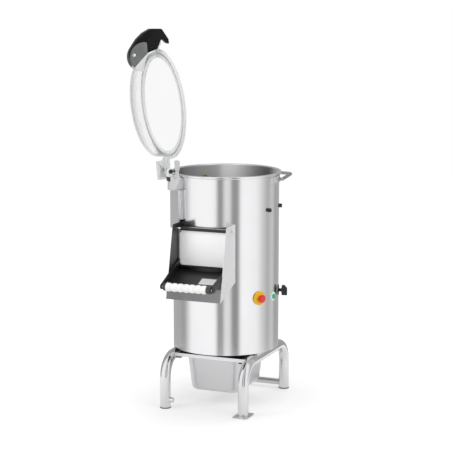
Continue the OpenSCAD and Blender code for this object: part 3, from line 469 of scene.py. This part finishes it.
catch_foot, catch_bearing, foot_z = math.radians(37.5), 138, 0.8948
plate_r, bend_r, bar_r = 0.2133, 0.225, 0.0065
bow_half = [(plate_r * math.sin(catch_foot), plate_r * math.cos(catch_foot), foot_z),
            (bend_r * math.sin(catch_foot), bend_r * math.cos(catch_foot), foot_z),
            (0.046, 0.267, 0.9014), (0.020, 0.221, 0.9054)]
bow_path = np.array(bow_half + [(-x, y, z) for x, y, z in bow_half[::-1]])
bow_steel = steel("bow_steel", (0.4, 0.4, 0.41), 0.3, (90, 90, 90), 0.000004)
catch = tube("catch_bar", round_the_drum(rounded(bow_path, 0.014, 9), catch_bearing), bar_r, (0, 0, 1),
             bow_steel)
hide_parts("catch_bow")
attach(catch, "frame")
dress("catch_plates", fold_steel, 0.0006)
dress("screws", bright_steel, 0.0003)

# ---------------------------------------------------------------- chute
# Folded stainless sheet round the discharge opening: two side plates, a sloping floor with a
# deep front lip, and a welded frame against which the door closes. The floor is painted dark as a
# painted reflection of the dark under the door, but for one patch of painted sheen, and the left plate
# is painted dark as painted shade on its inner side.
chute_steel = steel("chute_steel", (0.82, 0.82, 0.83), 0.5, (60, 60, 380), 0.000003, metal=0.6)
dress("chute_side_right", chute_steel)
# The left plate is painted dark as painted shade on its inner side.
painted_shade_side_steel = steel("painted_shade_side_steel", (0.16, 0.16, 0.165), 0.42, (60, 60, 300), 0.000004, spots=0.25)
dress("chute_side_left", painted_shade_side_steel)
# The floor's steel is painted dark as a painted reflection of the dark under the door.
floor_steel = steel("chute_floor_steel", (0.27, 0.27, 0.275), 0.4, (12, 60, 300), 0.000004, spots=0.35)
floor_tree, lip_y = floor_steel.node_tree, -0.3268
parted(floor_steel, beyond(floor_tree, "y", lip_y), (0.055, 0.055, 0.057), 0.7, 0.38)
# One patch of the floor is painted pale: a painted sheen.
painted_sheen_patch = within(floor_tree, {"x": (0.009, 0.070), "y": (-0.301, -0.260)}, 0.0015)
parted(floor_steel, painted_sheen_patch, (0.8, 0.8, 0.81), 0.4, 0.5)
dress("chute_floor", floor_steel)
frame_steel = steel("frame_steel", (0.6, 0.6, 0.61), 0.4, (60, 60, 300), 0.000003)
door_foot = 0.579
# Below the door's foot the frame is painted near black as painted shade.
parted(frame_steel, short_of(frame_steel.node_tree, "z", door_foot), (0.02, 0.02, 0.02), 0.3, 0.5)
dress("door_frame", frame_steel)

# ---------------------------------------------------------------- door
# The door is one pale stainless panel with clipped corners, rolled round a steel rod at its top, where a
# black strip seals it. Two flat black arms are bolted to its foot, and a white bulged grip sits
# between dark clamps on the steel rod that joins them.
door_steel = steel("door_steel", (0.97, 0.97, 0.97), 0.5, (300, 60, 60), 0.000003, spots=0.01, metal=0.1)
door_tree, strip_low, strip_top, strip_shaded = door_steel.node_tree, 0.7116, 0.7266, -0.052
# Below strip_low the panel gets a faint painted glow.
door_tree.links.new(short_of(door_tree, "z", strip_low), shader_in(door_steel).inputs["Emission Color"])
shader_in(door_steel).inputs["Emission Strength"].default_value = 0.1
# From strip_low up, the panel's roll is painted near black as painted shade in the gap at its top.
parted(door_steel, beyond(door_tree, "z", strip_low), (0.02, 0.02, 0.021), 0.0, 0.5)
# Above strip_top the roll is painted pale right of strip_shaded and near black left of it: a painted reflection
# of the barrel.
above_strip = beyond(door_tree, "z", strip_top, 0.0016)
painted_reflection_roll = both(door_tree, above_strip, beyond(door_tree, "x", strip_shaded, 0.014))
parted(door_steel, painted_reflection_roll, (0.8, 0.8, 0.8), 0.1, 0.5)
dress("door_panel", door_steel, 0.0004)
rubber = rubber_like("black_rubber", 120, (0.012, 0.012, 0.012), (0.03, 0.03, 0.03), 0.7)
dress("door_gasket", rubber)
dress("door_hinge_rod", bright_steel, 0.0006)

handle_black = moulded("handle_black", (0.008, 0.008, 0.009), (0.016, 0.016, 0.017), 0.35)
dress("handle_bar", handle_black, 0.0012)
dress("grip_rod", bright_steel)

grip_y, grip_z = -0.380, 0.521
grip_low, grip_high, grip_bore, bulges = -0.088, 0.080, 0.0061, 7


def grip_radius(s):
    """r(s) = (waist + swell |sin(pi n s)|^0.7) (0.88 + 0.12 e^(1/4)), e rising from 0 to 1 over each end."""
    waist, swell = 0.0125, 0.0040
    end = np.clip(np.minimum(s, 1 - s) * 60, 0.0, 1.0)
    return (waist + swell * np.abs(np.sin(math.pi * bulges * s)) ** 0.7) * (end ** 0.25 * 0.12 + 0.88)


along = np.linspace(0, 1, 141)
grip_profile = np.vstack([(grip_bore, grip_low),
                          np.column_stack([grip_radius(along), grip_low + (grip_high - grip_low) * along]),
                          (grip_bore, grip_high), (grip_bore, grip_low)])
lathe = turned(grip_profile, 48)
white_plastic = moulded("white_plastic", (0.94, 0.94, 0.92), (0.97, 0.97, 0.95), 0.3)
grip = surface("ribbed_grip", np.stack([lathe[..., 2], lathe[..., 0] + grip_y, lathe[..., 1] + grip_z], -1),
               True, white_plastic)
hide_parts("handle_grip")
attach(grip, "door")
clamp_grey = moulded("clamp_grey", (0.03, 0.031, 0.033), (0.045, 0.046, 0.048), 0.4)
dress("handle_clamps", clamp_grey, 0.0015)

# ---------------------------------------------------------------- stand
# Two loops of 42 mm stainless tube, bent and polished, joined by flat rails and a rear brace.
# Two feet stand on plates for floor bolts, the other two on flat rubber caps.
tube_steel = steel("tube_steel", (0.68, 0.68, 0.69), 0.18, (80, 80, 5), 0.000004, spots=0.04)
for node in ("stand_loop_left", "stand_loop_right"):
    dress(node, tube_steel)
dress("rear_brace", steel("brace_steel", (0.6, 0.6, 0.61), 0.4, (5, 80, 80), 0.000004))
for node in ("cross_rails", "mounting_pads", "tray_runners", "foot_plates"):
    dress(node, fold_steel, 0.0004)
dress("foot_caps", rubber)

# ---------------------------------------------------------------- peel tray
# A deep-drawn stainless pan with wide corner radii and a flat rim that hangs in the runners. Inside it
# is painted dark as painted shade.


def round_box(half_x, half_y, corner, steps=12):
    """A box outline with quarter-round corners, the same number of points whatever its size."""
    a = np.linspace(0, math.pi / 2, steps)
    quarters = [(sx * (half_x - corner), sy * (half_y - corner), a + turn)
                for sx, sy, turn in ((1, 1, 0), (-1, 1, math.pi / 2), (-1, -1, math.pi), (1, -1, 1.5 * math.pi))]
    return np.concatenate([np.column_stack([cx + corner * np.cos(t), cy + corner * np.sin(t)])
                           for cx, cy, t in quarters])


def pan_level(z, half_x, half_y, corner):
    """One level of the pan: its outline at that height."""
    outline = round_box(half_x, half_y, corner)
    return np.column_stack([outline, np.full(len(outline), z)])


tray_levels = [(0.1945, 0.132, 0.160, 0.030), (0.1957, 0.1315, 0.1595, 0.030), (0.1957, 0.119, 0.147, 0.045),
               (0.190, 0.1178, 0.1458, 0.045), (0.075, 0.1052, 0.1332, 0.039), (0.067, 0.1034, 0.1314, 0.037),
               (0.0605, 0.0995, 0.1275, 0.034), (0.0572, 0.0945, 0.1225, 0.030), (0.0562, 0.088, 0.116, 0.026),
               (0.0561, 0.06, 0.09, 0.02), (0.0561, 0.0001, 0.0001, 0.00005)]
tray_steel = steel("tray_steel", (0.62, 0.62, 0.63), 0.34, (60, 60, 300), 0.000004)
tray = surface("peel_pan", np.stack([pan_level(*level) for level in tray_levels]), True, tray_steel)
tray.data.flip_normals()
wall = tray.modifiers.new("wall", "SOLIDIFY")
wall.thickness = 0.0011
wall.offset = -1.0
# The pan's inner face is painted dark as painted shade.
painted_shade_pan_steel = steel("painted_shade_pan_steel", (0.1, 0.1, 0.1), 0.4, (60, 60, 60), 0.000004, spots=0.3)
tray.data.materials.append(painted_shade_pan_steel)
wall.material_offset = 1
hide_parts("tray")
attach(tray, "peel_tray")

# ---------------------------------------------------------------- controls
# A red mushroom stop button on a yellow plate, a small green start button in a pale mint ring and a
# black timer knob, all screwed through the drum. The knob's plate is painted pale green next to the drum,
# a painted reflection of the green start button.
# Two black round fittings sit above.
yellow = moulded("yellow_plastic", (0.86, 0.44, 0.004), (0.92, 0.54, 0.01), 0.35)
dress("stop_base", yellow, 0.0012)
red = moulded("red_plastic", (0.7, 0.012, 0.02), (0.8, 0.025, 0.04), 0.22)
dress("stop_button", red, 0.0012)
dress("start_bezel", moulded("mint_plastic", (0.66, 0.86, 0.78), (0.74, 0.92, 0.85), 0.3), 0.001)
green = moulded("green_plastic", (0.02, 0.3, 0.13), (0.04, 0.4, 0.18), 0.25)
dress("start_button", green, 0.0008)
timer_black = moulded("timer_black", (0.012, 0.012, 0.013), (0.022, 0.022, 0.024), 0.35)
timer_out, plate_out = (0.97815, 0.20791, 0.0), 0.2104
# The plate's drum side is painted pale green: a painted reflection of the green start button.
parted(timer_black, short_of(timer_black.node_tree, timer_out, plate_out), (0.42, 0.55, 0.48), 0.0, 0.4)
dress("timer_base", timer_black, 0.001)
dress("timer_knob", black_plastic, 0.0012)
dress("side_bumpers", black_plastic, 0.0008)
dress("control_box", grey_plastic, 0.0012)

# ---------------------------------------------------------------- water and drain
# A turned brass nozzle feeds water through the drum's wall, and a pipe lets it down into the tray.
brass, brass_tree, brass_shader = shader_of("turned_brass")
brass_shader.inputs["Metallic"].default_value = 1.0
brass_cloud = tinted(brass_tree, drawn_noise(brass_tree, (60, 60, 60)), (0.5, 0.36, 0.12), (0.66, 0.5, 0.2))
brass_tree.links.new(brass_cloud, brass_shader.inputs["Base Color"])
brass_tree.links.new(spread(brass_tree, drawn_noise(brass_tree, (200, 200, 200)), 0.2, 0.4),
                     brass_shader.inputs["Roughness"])
dress("water_inlet", brass, 0.0005)
dress("drain_pipe", plate_steel)

# ---------------------------------------------------------------- grinding parts
# The disc and the liner are coated with bonded grit. A domed stainless cap holds the disc.
grit, grit_tree, grit_shader = shader_of("bonded_grit")
grains = grit_tree.nodes.new("ShaderNodeTexVoronoi")
grains.inputs["Scale"].default_value = 420
grit_place = grit_tree.nodes.new("ShaderNodeTexCoord")
grit_tree.links.new(grit_place.outputs["Object"], grains.inputs["Vector"])
grit_tree.links.new(tinted(grit_tree, grains.outputs["Distance"], (0.16, 0.15, 0.14), (0.05, 0.05, 0.05)),
                    grit_shader.inputs["Base Color"])
grit_shader.inputs["Roughness"].default_value = 0.9
raised(grit_tree, grit_shader, grains.outputs["Distance"], 0.0012)
dress("abrasive_disc", grit)
dress("abrasive_liner", grit)
dress("disc_cap", plate_steel, 0.001)

# ---------------------------------------------------------------- drive
# A ribbed motor hangs on its plate and turns the disc's shaft through a belt and two pulleys.
motor_paint = moulded("motor_paint", (0.03, 0.06, 0.1), (0.04, 0.075, 0.12), 0.4, 120, 0.0001)
dress("motor", motor_paint)
cast_iron, cast_tree, cast_shader = shader_of("cast_iron")
cast_shader.inputs["Metallic"].default_value = 0.8
casting = drawn_noise(cast_tree, (180, 180, 180), 6)
cast_tree.links.new(tinted(cast_tree, casting, (0.12, 0.12, 0.13), (0.22, 0.22, 0.23)),
                    cast_shader.inputs["Base Color"])
cast_shader.inputs["Roughness"].default_value = 0.55
raised(cast_tree, cast_shader, casting, 0.0003)
for node in ("bearing_housing", "driven_pulley", "motor_pulley"):
    dress(node, cast_iron)
machined = steel("machined_steel", (0.55, 0.55, 0.57), 0.25, (30, 30, 500), 0.00001)
dress("drive_shaft", machined)
dress("shaft_bearings", machined)
dress("drive_belt", rubber)
dress("shaft_seal", rubber)

# ---------------------------------------------------------------- studio
# A pale floor and a light tent. The tent shows only in polished metal: wide softboxes at the
# sides, narrow dark flags beside the lens, and a grey back wall. Bands: degrees off the lens, strength.
tent_bands = [(-180, 0.50), (-106, 0.5), (-101, 0.42), (-90, 0.42), (-84, 0.7), (-72, 1.2), (-20, 1.25),
              (-15, 0.30), (-7, 0.30), (-3, 1.0), (7, 1.0), (12, 0.30), (23, 0.30), (28, 1.25), (62, 1.15),
              (80, 0.75), (92, 0.5), (104, 0.75), (110, 0.72), (120, 0.42), (140, 0.5), (180, 0.5)]
t = np.radians(np.linspace(-180, 180, 361))
bearing = t + math.radians(camera_bearing)
tent_r, tent_top = 0.9, 2.8
tent_grid = np.stack([np.stack([tent_r * np.sin(bearing), -tent_r * np.cos(bearing), np.full_like(t, z)], -1)
                      for z in (0.0, tent_top)])
tent = surface("light_tent", tent_grid)
band = tent.data.color_attributes.new("band", "FLOAT_COLOR", "POINT")
corners = np.zeros(len(tent.data.vertices) * 3)
tent.data.vertices.foreach_get("co", corners)
corners = corners.reshape(-1, 3)
off_lens = np.degrees(np.arctan2(corners[:, 0], -corners[:, 1])) - camera_bearing
off_lens = (off_lens + 180) % 360 - 180
glow = np.interp(off_lens, *zip(*tent_bands))
band.data.foreach_set("color", np.column_stack([glow, glow, glow, np.ones_like(glow)]).ravel())
tent_cloth = bpy.data.materials.new("tent_cloth")
tent_cloth.use_nodes = True
tent_tree = tent_cloth.node_tree
tent_tree.nodes.clear()
lamp = tent_tree.nodes.new("ShaderNodeEmission")
shade = tent_tree.nodes.new("ShaderNodeAttribute")
shade.attribute_name = "band"
tent_out = tent_tree.nodes.new("ShaderNodeOutputMaterial")
tent_tree.links.new(shade.outputs["Color"], lamp.inputs["Color"])
tent_tree.links.new(lamp.outputs["Emission"], tent_out.inputs["Surface"])
tent.data.materials.append(tent_cloth)
tent.visible_camera = False
tent.visible_diffuse = False
tent.visible_transmission = False
tent.visible_shadow = False


def seen(tree):
    """1 for rays that show the background: from the camera, in gloss and through clear plastic."""
    path = tree.nodes.new("ShaderNodeLightPath")
    first = tree.nodes.new("ShaderNodeMath")
    first.operation = "MAXIMUM"
    second = tree.nodes.new("ShaderNodeMath")
    second.operation = "MAXIMUM"
    tree.links.new(path.outputs["Is Camera Ray"], first.inputs[0])
    tree.links.new(path.outputs["Is Glossy Ray"], first.inputs[1])
    tree.links.new(first.outputs[0], second.inputs[0])
    tree.links.new(path.outputs["Is Transmission Ray"], second.inputs[1])
    return second.outputs[0]


floor_rings = (0.0, 1.0, 3.0, 9.0, 30.0, 110.0)
floor_grid = np.stack([np.stack([r * np.cos(t), r * np.sin(t), 0 * t], -1) for r in floor_rings])
floor = surface("floor", floor_grid)
pale = bpy.data.materials.new("pale_floor")
pale.use_nodes = True
pale_tree = pale.node_tree
pale_tree.nodes.clear()
matte = pale_tree.nodes.new("ShaderNodeBsdfDiffuse")
matte.inputs["Color"].default_value = (0.8, 0.8, 0.8, 1)
shadowed = pale_tree.nodes.new("ShaderNodeBsdfDiffuse")
shadowed.inputs["Color"].default_value = (0.5, 0.5, 0.5, 1)
white = pale_tree.nodes.new("ShaderNodeEmission")
# The floor's glow is lower within about half a metre of the middle: a painted shadow round the machine's feet.
painted_shade_glow, far_light = 0.48, 0.64
lit = pale_tree.nodes.new("ShaderNodeMapRange")
lit.inputs["To Min"].default_value = painted_shade_glow
lit.inputs["To Max"].default_value = far_light
pale_tree.links.new(beyond(pale_tree, "r", 0.55, 0.25), lit.inputs["Value"])
pale_tree.links.new(lit.outputs["Result"], white.inputs["Strength"])
added = pale_tree.nodes.new("ShaderNodeAddShader")
either = pale_tree.nodes.new("ShaderNodeMixShader")
pale_out = pale_tree.nodes.new("ShaderNodeOutputMaterial")
pale_tree.links.new(shadowed.outputs[0], added.inputs[0])
pale_tree.links.new(white.outputs[0], added.inputs[1])
pale_tree.links.new(seen(pale_tree), either.inputs["Fac"])
pale_tree.links.new(matte.outputs[0], either.inputs[1])
pale_tree.links.new(added.outputs[0], either.inputs[2])
pale_tree.links.new(either.outputs[0], pale_out.inputs["Surface"])
floor.data.materials.append(pale)

world = bpy.data.worlds.new("studio")
bpy.context.scene.world = world
world.use_nodes = True
sky = world.node_tree
sky.nodes.clear()
backdrop = sky.nodes.new("ShaderNodeBackground")
backdrop.inputs["Strength"].default_value = 1.0
fill = sky.nodes.new("ShaderNodeBackground")
fill.inputs["Strength"].default_value = 0.72
sky_mix = sky.nodes.new("ShaderNodeMixShader")
sky_out = sky.nodes.new("ShaderNodeOutputWorld")
for node in (backdrop, fill):
    node.inputs["Color"].default_value = (1, 1, 1, 1)
sky.links.new(seen(sky), sky_mix.inputs["Fac"])
sky.links.new(fill.outputs[0], sky_mix.inputs[1])
sky.links.new(backdrop.outputs[0], sky_mix.inputs[2])
sky.links.new(sky_mix.outputs[0], sky_out.inputs["Surface"])

aimed_at = np.array([0.0, 0.0, 0.7])
softboxes = (("softbox_left", (-2.6, -2.6, 3.0), 2.2, 50),
             ("softbox_right", (3.2, -1.4, 2.6), 2.0, 34),
             ("softbox_top", (0.3, 1.9, 3.9), 2.4, 44))
for name, place, size, power in softboxes:
    light = bpy.data.lights.new(name, "AREA")
    light.size = size
    light.energy = power
    softbox = bpy.data.objects.new(name, light)
    softbox.location = place
    aim = aimed_at - np.array(place)
    flat = math.hypot(aim[0], aim[1])
    softbox.rotation_euler = (math.atan2(flat, -aim[2]), 0, math.atan2(aim[1], aim[0]) - math.pi / 2)
    softbox.visible_glossy = False
    bpy.context.scene.collection.objects.link(softbox)
